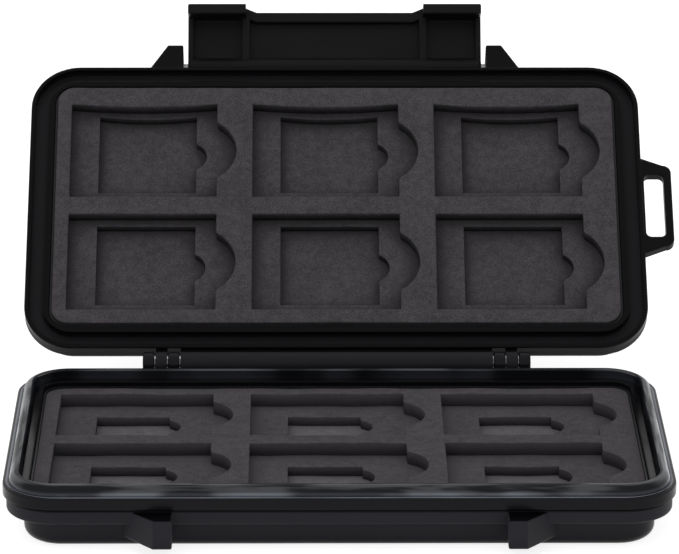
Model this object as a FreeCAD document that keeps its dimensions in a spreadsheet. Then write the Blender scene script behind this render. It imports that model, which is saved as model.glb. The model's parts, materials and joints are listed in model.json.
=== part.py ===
import FreeCAD, Part
import math
import os
import Sketcher

# A hinged card case: two shells with foam inserts, a rim seal, two hinge pins and a front latch.
# Millimetres, +Z up, origin at the centre of the base's underside, latch side towards -Y.
# The lid is drawn as it lies on its back, hinge side towards -Y, and then swung on its hinge.

SIZES = (
    # Shells
    ("body_width", 135.8, "both shells, left to right"),
    ("body_depth", 73.5, "both shells, latch side to hinge side"),
    ("corner_radius", 10.8, "outer corners in plan"),
    ("rim_band", 2.4, "height of the band along the base's rim"),
    ("lid_band", 3.6, "height of the band along the lid's rim"),
    ("reveal_height", 0.4, "thin reveal under the base's rim band"),
    ("reveal_depth", 1.2, "how far the reveal is set in"),
    ("ledge_drop", 5.9, "base rim face down to the ledge that the latch hooks under"),
    ("tier_inset", 0.7, "base tier above the ledge, set in from the rim"),
    ("lower_inset", 3.2, "lowest base tier, set in from the rim at front and back"),
    ("lower_side", 4.2, "lowest base tier, set in from the rim at the sides"),
    ("lower_corner", 7.8, "corners of the lowest base tier in plan"),
    ("roof_inset", 2.2, "lid roof, set in from the rim"),
    ("ledge_round", 0.7, "rounding of the ledge's outer edge"),
    ("base_round", 2.4, "rounding of the base's bottom edge"),
    ("lid_round", 5.2, "rounding of the lid's roof edge"),
    ("rim_round", 0.35, "rounding of both rims' outer edges"),
    ("edge_round", 0.4, "rounding of the ears, guards, brackets, loop and latch"),
    ("base_floor", 2.6, "base bottom plate"),
    ("lid_roof", 1.6, "lid roof plate"),
    ("cavity_inset", 5.4, "outer face to the cavity wall"),
    ("cavity_corner", 4.3, "cavity corners in plan"),
    ("parting_gap", 0.1, "between the two rim faces when shut"),
    # Rim seal
    ("seat_inset", 1.1, "outer face to the seal's seat"),
    ("seat_width", 2.6, "the seal's seat"),
    ("seat_depth", 1.4, "rim face down to the seal's seat"),
    ("seal_gap", 0.05, "seal to the walls beside it and to the lid"),
    ("crown_inset", 1.25, "outer face to the seal's crown"),
    ("crown_width", 2.35, "seal crown"),
    ("crown_rise", 2.1, "seal crown above the base's rim face"),
    ("crown_round", 1.8, "rounding of the crown's outer side"),
    ("crown_edge", 0.35, "rounding of the crown's inner edge"),
    ("crown_gap", 0.3, "crown to the groove that it enters in the lid"),
    # Foam inserts and their trays
    ("tray_gap", 0.1, "cavity wall to tray, and tray to foam"),
    ("tray_wall", 0.4, "tray wall"),
    ("tray_floor", 0.6, "tray floor"),
    ("tray_lip", 0.3, "tray wall above the base foam's face, and below the lid's rim face"),
    ("foam_face", 2.8, "sheet with the large wells"),
    ("foam_middle", 2.0, "sheet with the nested wells"),
    ("base_back", 2.3, "back sheet in the base"),
    ("lid_back", 4.8, "back sheet in the lid"),
    ("foam_recess", 1.3, "base foam face below the base's rim face"),
    ("foam_clear", 0.8, "between the two foam faces when shut"),
    # Card wells
    ("column_pitch", 40.4, "between well columns"),
    ("row_pitch", 29.1, "between well rows"),
    ("row_shift", 0.5, "well rows towards the hinge"),
    ("card_width", 32.5, "large well, across"),
    ("card_depth", 24.5, "large well, front to back"),
    ("thumb_chord", 14.6, "thumb notch of the large well, along its side"),
    ("thumb_reach", 4.3, "thumb notch of the large well, out from its side"),
    ("thumb_ease", 1.2, "rounding where the thumb notch leaves the well's side"),
    ("edge_bow", 0.8, "inward bow of the well edges next to the latch in the lid"),
    ("mid_width", 21.7, "mid-size well, across"),
    ("mid_depth", 20.3, "mid-size well, front to back"),
    ("mid_left", 6.2, "large well's left edge to the mid-size well"),
    ("mid_front", 1.6, "large well's latch-side edge to the mid-size well"),
    ("mid_chord", 6.6, "finger notch of the mid-size well, along its side"),
    ("mid_reach", 2.3, "finger notch of the mid-size well, out from its side"),
    ("small_width", 15.4, "small well, across"),
    ("small_depth", 11.4, "small well, front to back"),
    ("small_left", 7.9, "large well's left edge to the small well"),
    ("small_chord", 8.0, "finger notch of the small well, along its side"),
    ("small_reach", 2.5, "finger notch of the small well, out from its side"),
    ("finger_ease", 0.6, "rounding where a finger notch leaves the well's side"),
    # Hinge
    ("lid_open", 140.4, "degrees from shut to the stop"),
    ("hinge_out", 3.65, "hinge axis behind the shells"),
    ("hinge_rise", 0.8, "hinge axis above the base's rim face"),
    ("barrel_radius", 2.5, "hinge knuckles"),
    ("pin_radius", 1.0, "hinge and latch pins"),
    ("press_gap", 0.01, "pin in the piece that holds it"),
    ("running_gap", 0.05, "pin in the piece that turns on it"),
    ("pin_length", 14.0, "hinge and latch pins"),
    ("pin_sink", 0.3, "pin end below the face it is driven in from"),
    ("hinge_span", 83.6, "over the outer knuckles"),
    ("knuckle_width", 2.5, "each end knuckle"),
    ("knuckle_gap", 0.2, "between knuckles"),
    ("web_drop", 0.5, "knuckle webs below the base's rim face and below the lid's hinge axis"),
    ("stop_gap", 0.05, "stop heel to the base's rear band at the stop"),
    ("heel_top", 1.2, "hinge axis down to the stop face"),
    ("heel_height", 2.0, "stop face"),
    # Latch, its ears on the lid and its guards on the base
    ("latch_width", 66.3, "over the ends"),
    ("latch_open", 70.0, "degrees from shut to where it is drawn"),
    ("pivot_out", 3.2, "latch pivot in front of the shells"),
    ("pivot_rise", 5.3, "lid rim face to the latch pivot"),
    ("latch_barrel", 2.3, "radius of the latch's pivot barrel"),
    ("latch_plate", 1.5, "latch plate"),
    ("hook_gap", 0.2, "hook to the ledge when shut"),
    ("hook_bite", 1.3, "hook past the tier above the ledge"),
    ("hook_height", 2.2, "hook and lip, along the plate"),
    ("hook_round", 0.9, "rounding of the hooks and the lip"),
    ("tab_width", 13.1, "hook tab at each end"),
    ("tab_slope", 2.4, "from tab to centre edge"),
    ("tab_extra", 1.0, "tabs reach past the centre"),
    ("lip_rise", 2.0, "centre lip above the plate"),
    ("latch_rib", 1.7, "two ribs beside the tabs"),
    ("latch_end", 1.2, "end walls"),
    ("rib_rise", 2.2, "ribs and end walls above the plate"),
    ("ear_gap", 1.0, "latch to lid ear"),
    ("ear_top", 3.5, "flat outer end of the ear"),
    ("ear_slope", 4.0, "sloped side of the ear"),
    ("ear_reach", 6.4, "ear in front of the shells"),
    ("ear_drop", 0.5, "ear below the lid's rim face"),
    ("ear_below", 2.8, "ear past the pivot"),
    ("ear_round", 2.0, "rounding of the ear's nose"),
    ("guard_gap", 0.35, "latch to base guard"),
    ("guard_top", 3.7, "flat outer end of the guard"),
    ("guard_slope", 3.8, "sloped side of the guard"),
    ("guard_reach", 4.5, "guard in front of the shells"),
    ("guard_drop", 0.3, "guard below the reveal"),
    ("guard_low", 2.4, "guard above the underside"),
    ("guard_round", 0.8, "rounding of the guard's lower nose"),
    # Lanyard loop
    ("loop_reach", 6.6, "loop beside the lid"),
    ("loop_length", 24.9, "loop along the lid"),
    ("loop_slope", 1.9, "fall of the loop's shoulders"),
    ("loop_corner", 1.9, "corners of the loop"),
    ("loop_thick", 2.5, "loop"),
    ("loop_drop", 0.5, "loop below the lid's rim face"),
    ("loop_shift", 0.1, "loop's centre towards the latch"),
    ("slot_offset", 0.5, "lid's side to the slot"),
    ("slot_width", 4.3, "slot in the loop"),
    ("slot_length", 16.2, "slot in the loop"),
    ("slot_corner", 1.2, "corners of the slot"),
)

# Heights and places that follow from the sizes above
BASE_HEIGHT = ("(Sizes.base_floor + Sizes.tray_floor + Sizes.base_back + Sizes.foam_middle"
               " + Sizes.foam_face + Sizes.foam_recess)")
FOAM_PROUD = "(Sizes.foam_recess + Sizes.parting_gap - Sizes.foam_clear)"
LID_HEIGHT = ("(Sizes.lid_roof + Sizes.tray_floor + Sizes.lid_back + Sizes.foam_middle"
              f" + Sizes.foam_face - {FOAM_PROUD})")
HALF_WIDTH = "(Sizes.body_width / 2)"
HALF_DEPTH = "(Sizes.body_depth / 2)"
LEDGE = f"({BASE_HEIGHT} - Sizes.ledge_drop)"
BAND_FOOT = f"({BASE_HEIGHT} - Sizes.rim_band)"
SEAT_INSIDE = "(Sizes.seat_inset + Sizes.seat_width)"
FOAM_GAP = "(2 * Sizes.tray_gap + Sizes.tray_wall)"
ROOT = f"({HALF_DEPTH} - Sizes.cavity_inset + Sizes.tray_gap)"
HINGE_Y = f"({HALF_DEPTH} + Sizes.hinge_out)"
HINGE_Z = f"({BASE_HEIGHT} + Sizes.hinge_rise)"
LID_AXIS = f"({LID_HEIGHT} + Sizes.parting_gap - Sizes.hinge_rise)"
LEAN = "((180 - Sizes.lid_open) * 1 deg)"
PIVOT_Y = f"({HALF_DEPTH} + Sizes.pivot_out)"
PIVOT_Z = f"({LID_HEIGHT} - Sizes.pivot_rise)"
HALF_LATCH = "(Sizes.latch_width / 2)"
EAR_X = f"({HALF_LATCH} + Sizes.ear_gap)"
GUARD_X = f"({HALF_LATCH} + Sizes.guard_gap)"
HOOK_FOOT = "(Sizes.pivot_rise + Sizes.parting_gap + Sizes.ledge_drop + Sizes.hook_gap)"
LATCH_TIP = f"({HOOK_FOOT} + Sizes.hook_height)"
CENTRE_TIP = f"({LATCH_TIP} - Sizes.tab_extra)"
PLATE_TOP = "(Sizes.latch_plate - Sizes.latch_barrel)"
OUTER_KNUCKLE = "(Sizes.hinge_span / 2 - Sizes.knuckle_width)"
LID_KNUCKLE = f"({OUTER_KNUCKLE} - Sizes.knuckle_gap - Sizes.knuckle_width)"
INNER_KNUCKLE = f"({LID_KNUCKLE} - Sizes.knuckle_gap - Sizes.knuckle_width)"
HINGE_PIN_OUT = "(Sizes.hinge_span / 2 - Sizes.pin_sink)"
EAR_FACE = f"({EAR_X} + Sizes.ear_top + Sizes.ear_slope * (1 - Sizes.pivot_out / Sizes.ear_reach))"
LATCH_PIN_OUT = f"({EAR_FACE} - Sizes.pin_sink)"
LATCH_PIN_END = f"({LATCH_PIN_OUT} - Sizes.pin_length)"
WELL_COLUMNS = 3
COLUMNS_SPAN = f"({WELL_COLUMNS - 1} * Sizes.column_pitch)"
FIRST_LEFT = f"(-{COLUMNS_SPAN} / 2 - (Sizes.card_width + Sizes.thumb_reach) / 2)"

# Which way an arc of an outline bulges
OUTWARDS = 1
INWARDS = -1

# How near counts as the same place, and how far two faces turn at a sharp edge
NEAR = 1e-3
SHARP_TURN = math.radians(20)

doc = FreeCAD.newDocument("card_case")
sheet = doc.addObject("Spreadsheet::Sheet", "Sizes")
for row, (alias, number, note) in enumerate(SIZES, start=1):
    sheet.set(f"A{row}", note)
    sheet.set(f"B{row}", str(number))
    sheet.setAlias(f"B{row}", alias)
doc.recompute()


def measure(expression):
    """Work out an expression on the sheet as a plain number."""
    return float(sheet.evalExpression(expression))


def new_body(label):
    """Start a sub-part."""
    body = doc.addObject("PartDesign::Body", label)
    body.Label = label
    return body


def origin_of(body, role):
    """Find one of a body's own planes or axes."""
    return next(item for item in body.Origin.OriginFeatures if item.Role == role)


def sketch_on(body, name, role, offset, *outlines):
    """Make a sketch at an offset from one of the body's planes and draw its outlines."""
    sketch = body.newObject("Sketcher::SketchObject", name)
    sketch.AttachmentSupport = [(origin_of(body, role), "")]
    sketch.MapMode = "FlatFace"
    sketch.setExpression("AttachmentOffset.Base.z", offset)
    for corners in outlines:
        draw_outline(sketch, corners)
    return sketch


def draw_outline(sketch, corners):
    """Draw a closed outline, anticlockwise, each corner tied to the sheet.

    A corner is (across, up), or (across, up, radius, side) where an arc leaves it.
    """
    points = [FreeCAD.Vector(measure(corner[0]), measure(corner[1]), 0) for corner in corners]
    edges = []
    for index, corner in enumerate(corners):
        start = points[index]
        end = points[(index + 1) % len(points)]
        if len(corner) == 2:
            edges.append((sketch.addGeometry(Part.LineSegment(start, end)), 1, 2))
            continue
        radius = measure(corner[2])
        half_chord = start.distanceToPoint(end) / 2
        rise = radius - math.sqrt(max(radius ** 2 - half_chord ** 2, 0))
        along = (end - start).normalize()
        right = FreeCAD.Vector(along.y, -along.x, 0)
        middle = (start + end) / 2 + right * (rise * corner[3])
        if corner[3] == OUTWARDS:
            edges.append((sketch.addGeometry(Part.Arc(start, middle, end)), 1, 2))
        else:
            edges.append((sketch.addGeometry(Part.Arc(end, middle, start)), 2, 1))
    for index, (edge, first, last) in enumerate(edges):
        follower, follower_first, _ = edges[(index + 1) % len(edges)]
        sketch.addConstraint(Sketcher.Constraint("Coincident", edge, last, follower, follower_first))
        for kind, expression in (("DistanceX", corners[index][0]), ("DistanceY", corners[index][1])):
            rule = Sketcher.Constraint(kind, -1, 1, edge, first, measure(expression))
            number = sketch.addConstraint(rule)
            sketch.setExpression(f"Constraints[{number}]", expression)
        if len(corners[index]) > 2:
            radius = corners[index][2]
            number = sketch.addConstraint(Sketcher.Constraint("Radius", edge, measure(radius)))
            sketch.setExpression(f"Constraints[{number}]", radius)


def rounded_box(half_width, half_depth, radius, across="0", along="0"):
    """Outline of a rectangle with round corners about a centre."""
    inner_x = f"({half_width} - {radius})"
    inner_y = f"({half_depth} - {radius})"
    return (
        (f"{across} - {inner_x}", f"{along} - {half_depth}"),
        (f"{across} + {inner_x}", f"{along} - {half_depth}", radius, OUTWARDS),
        (f"{across} + {half_width}", f"{along} - {inner_y}"),
        (f"{across} + {half_width}", f"{along} + {inner_y}", radius, OUTWARDS),
        (f"{across} + {inner_x}", f"{along} + {half_depth}"),
        (f"{across} - {inner_x}", f"{along} + {half_depth}", radius, OUTWARDS),
        (f"{across} - {half_width}", f"{along} + {inner_y}"),
        (f"{across} - {half_width}", f"{along} - {inner_y}", radius, OUTWARDS),
    )


def shell_outline(inset):
    """Outline of the shells, set in from their outer face."""
    return rounded_box(f"({HALF_WIDTH} - {inset})", f"({HALF_DEPTH} - {inset})",
                       f"(Sizes.corner_radius - {inset})")


def cavity_outline(gap):
    """Outline of the cavity, or of what fits in it with a gap."""
    return rounded_box(f"({HALF_WIDTH} - Sizes.cavity_inset - {gap})",
                       f"({HALF_DEPTH} - Sizes.cavity_inset - {gap})",
                       f"(Sizes.cavity_corner - {gap})")


def pad(body, name, sketch, length):
    """Extrude a sketch along its normal."""
    feature = body.newObject("PartDesign::Pad", name)
    feature.Profile = sketch
    feature.setExpression("Length", length)
    return feature


def pocket(body, name, sketch, length, along_normal=False):
    """Cut a sketch into the body, against its normal unless told otherwise."""
    feature = body.newObject("PartDesign::Pocket", name)
    feature.Profile = sketch
    feature.setExpression("Length", length)
    feature.Reversed = along_normal
    return feature


def mirror(body, name, features):
    """Repeat features on the other side of the middle plane."""
    feature = body.newObject("PartDesign::Mirrored", name)
    feature.Originals = features
    feature.MirrorPlane = (origin_of(body, "YZ_Plane"), [""])
    body.Tip = feature
    return feature


def round_edges(body, name, radius, wanted):
    """Fillet the sharp edges of the body that a test picks out."""
    doc.recompute()
    base = body.Tip
    picked = [f"Edge{number}" for number, edge in enumerate(base.Shape.Edges, start=1)
              if wanted(edge.BoundBox) and is_sharp(base.Shape, edge)]
    feature = body.newObject("PartDesign::Fillet", name)
    feature.Base = (base, picked)
    feature.setExpression("Radius", radius)
    body.Tip = feature
    return feature


def is_sharp(shape, edge):
    """True for an edge whose two faces meet at an angle."""
    middle = edge.valueAt((edge.FirstParameter + edge.LastParameter) / 2)
    normals = []
    for face in shape.ancestorsOfType(edge, Part.Face):
        normals.append(face.normalAt(*face.Surface.parameter(middle)))
    return len(normals) == 2 and normals[0].getAngle(normals[1]) > SHARP_TURN


def level(box, height):
    """True for what lies flat at a height."""
    return abs(box.ZMin - height) < NEAR and abs(box.ZMax - height) < NEAR


def upright(box, across):
    """True for what lies in the plane at a distance on either side of the middle plane."""
    return abs(abs(box.XMin) - across) < NEAR and abs(abs(box.XMax) - across) < NEAR


def outside(box, inset):
    """True for what reaches past the shells' outline set in by an inset."""
    across = max(abs(box.XMin), abs(box.XMax)) - measure(f"{HALF_WIDTH} - {inset}")
    along = max(abs(box.YMin), abs(box.YMax)) - measure(f"{HALF_DEPTH} - {inset}")
    return max(across, along) > NEAR


def nose(box, along, height):
    """True for what runs across the object at a given place and height."""
    same_place = abs(box.YMin - along) < NEAR and abs(box.YMax - along) < NEAR
    return same_place and level(box, height)


def swing_with_lid(item):
    """Place what is drawn in the lid's own frame on the open lid."""
    item.Placement = FreeCAD.Placement(FreeCAD.Vector(), FreeCAD.Rotation(FreeCAD.Vector(1, 0, 0), 1))
    item.setExpression("Placement.Rotation.Angle", LEAN)
    item.setExpression("Placement.Base.y", lid_point_y("0", "0"))
    item.setExpression("Placement.Base.z", lid_point_z("0", "0"))


def lid_point_y(along, height):
    """World Y of a point given in the lid's own frame."""
    return f"{HINGE_Y} + cos({LEAN}) * ({along} + {HINGE_Y}) - sin({LEAN}) * ({height} - {LID_AXIS})"


def lid_point_z(along, height):
    """World Z of a point given in the lid's own frame."""
    return f"{HINGE_Z} + sin({LEAN}) * ({along} + {HINGE_Y}) + cos({LEAN}) * ({height} - {LID_AXIS})"


def cross_pin(label, start_x, y, z):
    """Steel pin along X."""
    pin = doc.addObject("Part::Cylinder", label)
    pin.Label = label
    pin.Placement = FreeCAD.Placement(FreeCAD.Vector(), FreeCAD.Rotation(FreeCAD.Vector(0, 1, 0), 90))
    pin.setExpression("Radius", "Sizes.pin_radius")
    pin.setExpression("Height", "Sizes.pin_length")
    pin.setExpression("Placement.Base.x", start_x)
    pin.setExpression("Placement.Base.y", y)
    pin.setExpression("Placement.Base.z", z)
    return pin


def circle_outline(across, up, radius):
    """Circle as four arcs."""
    return (
        (across, f"{up} - {radius}", radius, OUTWARDS),
        (f"{across} + {radius}", up, radius, OUTWARDS),
        (across, f"{up} + {radius}", radius, OUTWARDS),
        (f"{across} - {radius}", up, radius, OUTWARDS),
    )


def make_base_shell():
    """Base: stepped outside, seal seat, latch guards in front, hinge brackets behind."""
    body = new_body("base_shell")
    lower_outline = rounded_box(f"({HALF_WIDTH} - Sizes.lower_side)", f"({HALF_DEPTH} - Sizes.lower_inset)",
                                "Sizes.lower_corner")
    reveal_foot = f"({BAND_FOOT} - Sizes.reveal_height)"
    tiers = (
        ("lower_tier", lower_outline, "0", LEDGE),
        ("upper_tier", shell_outline("Sizes.tier_inset"), LEDGE, reveal_foot),
        ("reveal", shell_outline("Sizes.reveal_depth"), reveal_foot, BAND_FOOT),
        ("rim_band", shell_outline("0"), BAND_FOOT, BASE_HEIGHT),
    )
    for name, outline, low, high in tiers:
        sketch = sketch_on(body, f"base_{name}_outline", "XY_Plane", low, outline)
        pad(body, f"base_{name}", sketch, f"{high} - {low}")
    round_edges(body, "bottom_round", "Sizes.base_round", lambda box: level(box, 0))
    ledge = measure(LEDGE)
    round_edges(body, "ledge_round", "Sizes.ledge_round",
                lambda box: level(box, ledge) and outside(box, "Sizes.lower_inset"))
    rim_face = measure(BASE_HEIGHT)
    round_edges(body, "base_rim_round", "Sizes.rim_round", lambda box: level(box, rim_face))
    guard_out = f"({HALF_DEPTH} + Sizes.guard_reach)"
    guard_run = f"(Sizes.guard_slope * ({guard_out} - {ROOT}) / Sizes.guard_reach)"
    guard = (
        (GUARD_X, f"-{ROOT}"),
        (GUARD_X, f"-{guard_out}"),
        (f"{GUARD_X} + Sizes.guard_top", f"-{guard_out}"),
        (f"{GUARD_X} + Sizes.guard_top + {guard_run}", f"-{ROOT}"),
    )
    sketch = sketch_on(body, "guard_outline", "XY_Plane", "Sizes.guard_low", guard)
    guard_high = f"({reveal_foot} - Sizes.guard_drop)"
    guard_pad = pad(body, "guard", sketch, f"{guard_high} - Sizes.guard_low")
    bracket = (
        (ROOT, "0"),
        (f"{HINGE_Y} + Sizes.barrel_radius", "0"),
        (f"{HINGE_Y} + Sizes.barrel_radius", HINGE_Z, "Sizes.barrel_radius", OUTWARDS),
        (HINGE_Y, f"{HINGE_Z} + Sizes.barrel_radius", "Sizes.barrel_radius", OUTWARDS),
        (f"{HINGE_Y} - Sizes.barrel_radius", HINGE_Z),
        (f"{HINGE_Y} - Sizes.barrel_radius", f"{BASE_HEIGHT} - Sizes.web_drop"),
        (ROOT, f"{BASE_HEIGHT} - Sizes.web_drop"),
    )
    brackets = []
    for name, near in (("outer", OUTER_KNUCKLE), ("inner", INNER_KNUCKLE)):
        sketch = sketch_on(body, f"{name}_bracket_outline", "YZ_Plane", near, bracket)
        brackets.append(pad(body, f"{name}_bracket", sketch, "Sizes.knuckle_width"))
    mirror(body, "base_other_side", [guard_pad] + brackets)
    guard_nose = measure(f"-{guard_out}")
    guard_low = measure("Sizes.guard_low")
    round_edges(body, "guard_round", "Sizes.guard_round", lambda box: nose(box, guard_nose, guard_low))
    front = measure(f"-{HALF_DEPTH}")
    round_edges(body, "guard_edges", "Sizes.edge_round", lambda box: box.YMin < front - NEAR)
    barrel_low = measure(f"{HINGE_Y} - Sizes.barrel_radius")
    round_edges(body, "bracket_edges", "Sizes.edge_round",
                lambda box: box.YMin > barrel_low - NEAR and box.XLength < NEAR)
    sketch = sketch_on(body, "pin_hole_outline", "YZ_Plane", f"-{HALF_WIDTH}",
                       circle_outline(HINGE_Y, HINGE_Z, "(Sizes.pin_radius + Sizes.press_gap)"))
    pocket(body, "pin_holes", sketch, "Sizes.body_width", along_normal=True)
    sketch = sketch_on(body, "base_cavity_outline", "XY_Plane", BASE_HEIGHT, cavity_outline("0"))
    pocket(body, "base_cavity", sketch, f"{BASE_HEIGHT} - Sizes.base_floor")
    sketch = sketch_on(body, "seal_seat_outline", "XY_Plane", BASE_HEIGHT,
                       shell_outline("Sizes.seat_inset"), shell_outline(SEAT_INSIDE))
    pocket(body, "seal_seat", sketch, "Sizes.seat_depth")
    return body


def make_rim_seal():
    """Rubber seal: a band in its seat and a crown above it, rounded off towards the outside."""
    body = new_body("rim_seal")
    seat = f"({BASE_HEIGHT} - Sizes.seat_depth)"
    face = f"({BASE_HEIGHT} - Sizes.seal_gap)"
    sketch = sketch_on(body, "seal_band_outline", "XY_Plane", seat,
                       shell_outline("(Sizes.seat_inset + Sizes.seal_gap)"),
                       shell_outline(f"({SEAT_INSIDE} - Sizes.seal_gap)"))
    pad(body, "seal_band", sketch, f"{face} - {seat}")
    sketch = sketch_on(body, "seal_crown_outline", "XY_Plane", face,
                       shell_outline("Sizes.crown_inset"),
                       shell_outline("(Sizes.crown_inset + Sizes.crown_width)"))
    pad(body, "seal_crown", sketch, "Sizes.crown_rise + Sizes.seal_gap")
    top = measure(f"{BASE_HEIGHT} + Sizes.crown_rise")
    crown_middle = "(Sizes.crown_inset + Sizes.crown_width / 2)"
    round_edges(body, "crown_round", "Sizes.crown_round",
                lambda box: level(box, top) and outside(box, crown_middle))
    round_edges(body, "crown_edge", "Sizes.crown_edge", lambda box: level(box, top))
    return body


def make_tray(label, low, high):
    """Thin tray that an insert sits in."""
    body = new_body(label)
    sketch = sketch_on(body, f"{label}_outline", "XY_Plane", low, cavity_outline("Sizes.tray_gap"))
    pad(body, f"{label}_block", sketch, f"{high} - {low}")
    sketch = sketch_on(body, f"{label}_inside", "XY_Plane", high,
                       cavity_outline("(Sizes.tray_gap + Sizes.tray_wall)"))
    pocket(body, f"{label}_hollow", sketch, f"{high} - {low} - Sizes.tray_floor")
    return body


def arc_radius(chord, reach):
    """Radius of an arc from its chord and how far it stands off it."""
    return f"((({chord}) ^ 2 / 4 + ({reach}) ^ 2) / (2 * ({reach})))"


def notch(side, middle, chord, reach, ease):
    """Corners of a round notch in a well's right side, with eased ends that touch both side and notch."""
    radius = arc_radius(chord, reach)
    both = f"({radius} + {ease})"
    half = f"sqrt(2 * {reach} * {both} - {reach} ^ 2)"
    touch_x = f"({side} + {reach} - {radius} + ({both} - {reach}) * {radius} / {both})"
    touch_y = f"({half} * {radius} / {both})"
    return (
        (side, f"{middle} - {half}", ease, INWARDS),
        (touch_x, f"{middle} - {touch_y}", radius, OUTWARDS),
        (touch_x, f"{middle} + {touch_y}", ease, INWARDS),
        (side, f"{middle} + {half}"),
    )


def well_outline(left, middle, width, depth, right_notch, bow=None):
    """Well with a notch in its right side, and an inward bow in its far edge if one is given."""
    right = f"({left} + {width})"
    near = f"({middle} - {depth} / 2)"
    far = f"({middle} + {depth} / 2)"
    far_right = (right, far)
    if bow:
        far_right = (right, far, arc_radius(width, bow), INWARDS)
    return ((left, near), (right, near)) + right_notch + (far_right, (left, far))


def large_well(middle, bow):
    """Large card's well in the first column."""
    thumb = notch(f"({FIRST_LEFT} + Sizes.card_width)", middle,
                  "Sizes.thumb_chord", "Sizes.thumb_reach", "Sizes.thumb_ease")
    return well_outline(FIRST_LEFT, middle, "Sizes.card_width", "Sizes.card_depth", thumb, bow)


def mid_well(middle, bow):
    """Mid-size card's well, nested in a large one in the lid, its notch in line with the large one's."""
    left = f"({FIRST_LEFT} + Sizes.mid_left)"
    shifted = f"({middle} + (Sizes.card_depth - Sizes.mid_depth) / 2 - Sizes.mid_front)"
    finger = notch(f"({left} + Sizes.mid_width)", middle,
                   "Sizes.mid_chord", "Sizes.mid_reach", "Sizes.finger_ease")
    return well_outline(left, shifted, "Sizes.mid_width", "Sizes.mid_depth", finger, bow)


def small_well(middle, bow):
    """Small card's well, nested in a large one in the base."""
    left = f"({FIRST_LEFT} + Sizes.small_left)"
    finger = notch(f"({left} + Sizes.small_width)", middle,
                   "Sizes.small_chord", "Sizes.small_reach", "Sizes.finger_ease")
    return well_outline(left, middle, "Sizes.small_width", "Sizes.small_depth", finger, bow)


def make_sheet(label, low, thickness, well=None, hinge_way=1):
    """Sheet of an insert, with two rows of three wells cut through it if a well is given.

    hinge_way is 1 where the hinge is towards +Y and -1 where it is towards -Y.
    """
    body = new_body(label)
    sketch = sketch_on(body, f"{label}_outline", "XY_Plane", low,
                       cavity_outline(FOAM_GAP))
    pad(body, f"{label}_sheet", sketch, thickness)
    if well is None:
        return body
    for name, step in (("near", -0.5), ("far", 0.5)):
        middle = f"({hinge_way} * Sizes.row_shift + {step} * Sizes.row_pitch)"
        bow = "Sizes.edge_bow" if (hinge_way < 0 and step > 0) else None
        sketch = sketch_on(body, f"{label}_{name}_well", "XY_Plane", f"{low} + {thickness}", well(middle, bow))
        cut = pocket(body, f"{label}_{name}_pocket", sketch, thickness)
        row = body.newObject("PartDesign::LinearPattern", f"{label}_{name}_row")
        row.Originals = [cut]
        row.Direction = (origin_of(body, "X_Axis"), [""])
        row.setExpression("Length", COLUMNS_SPAN)
        row.Occurrences = WELL_COLUMNS
        body.Tip = row
    return body


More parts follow.
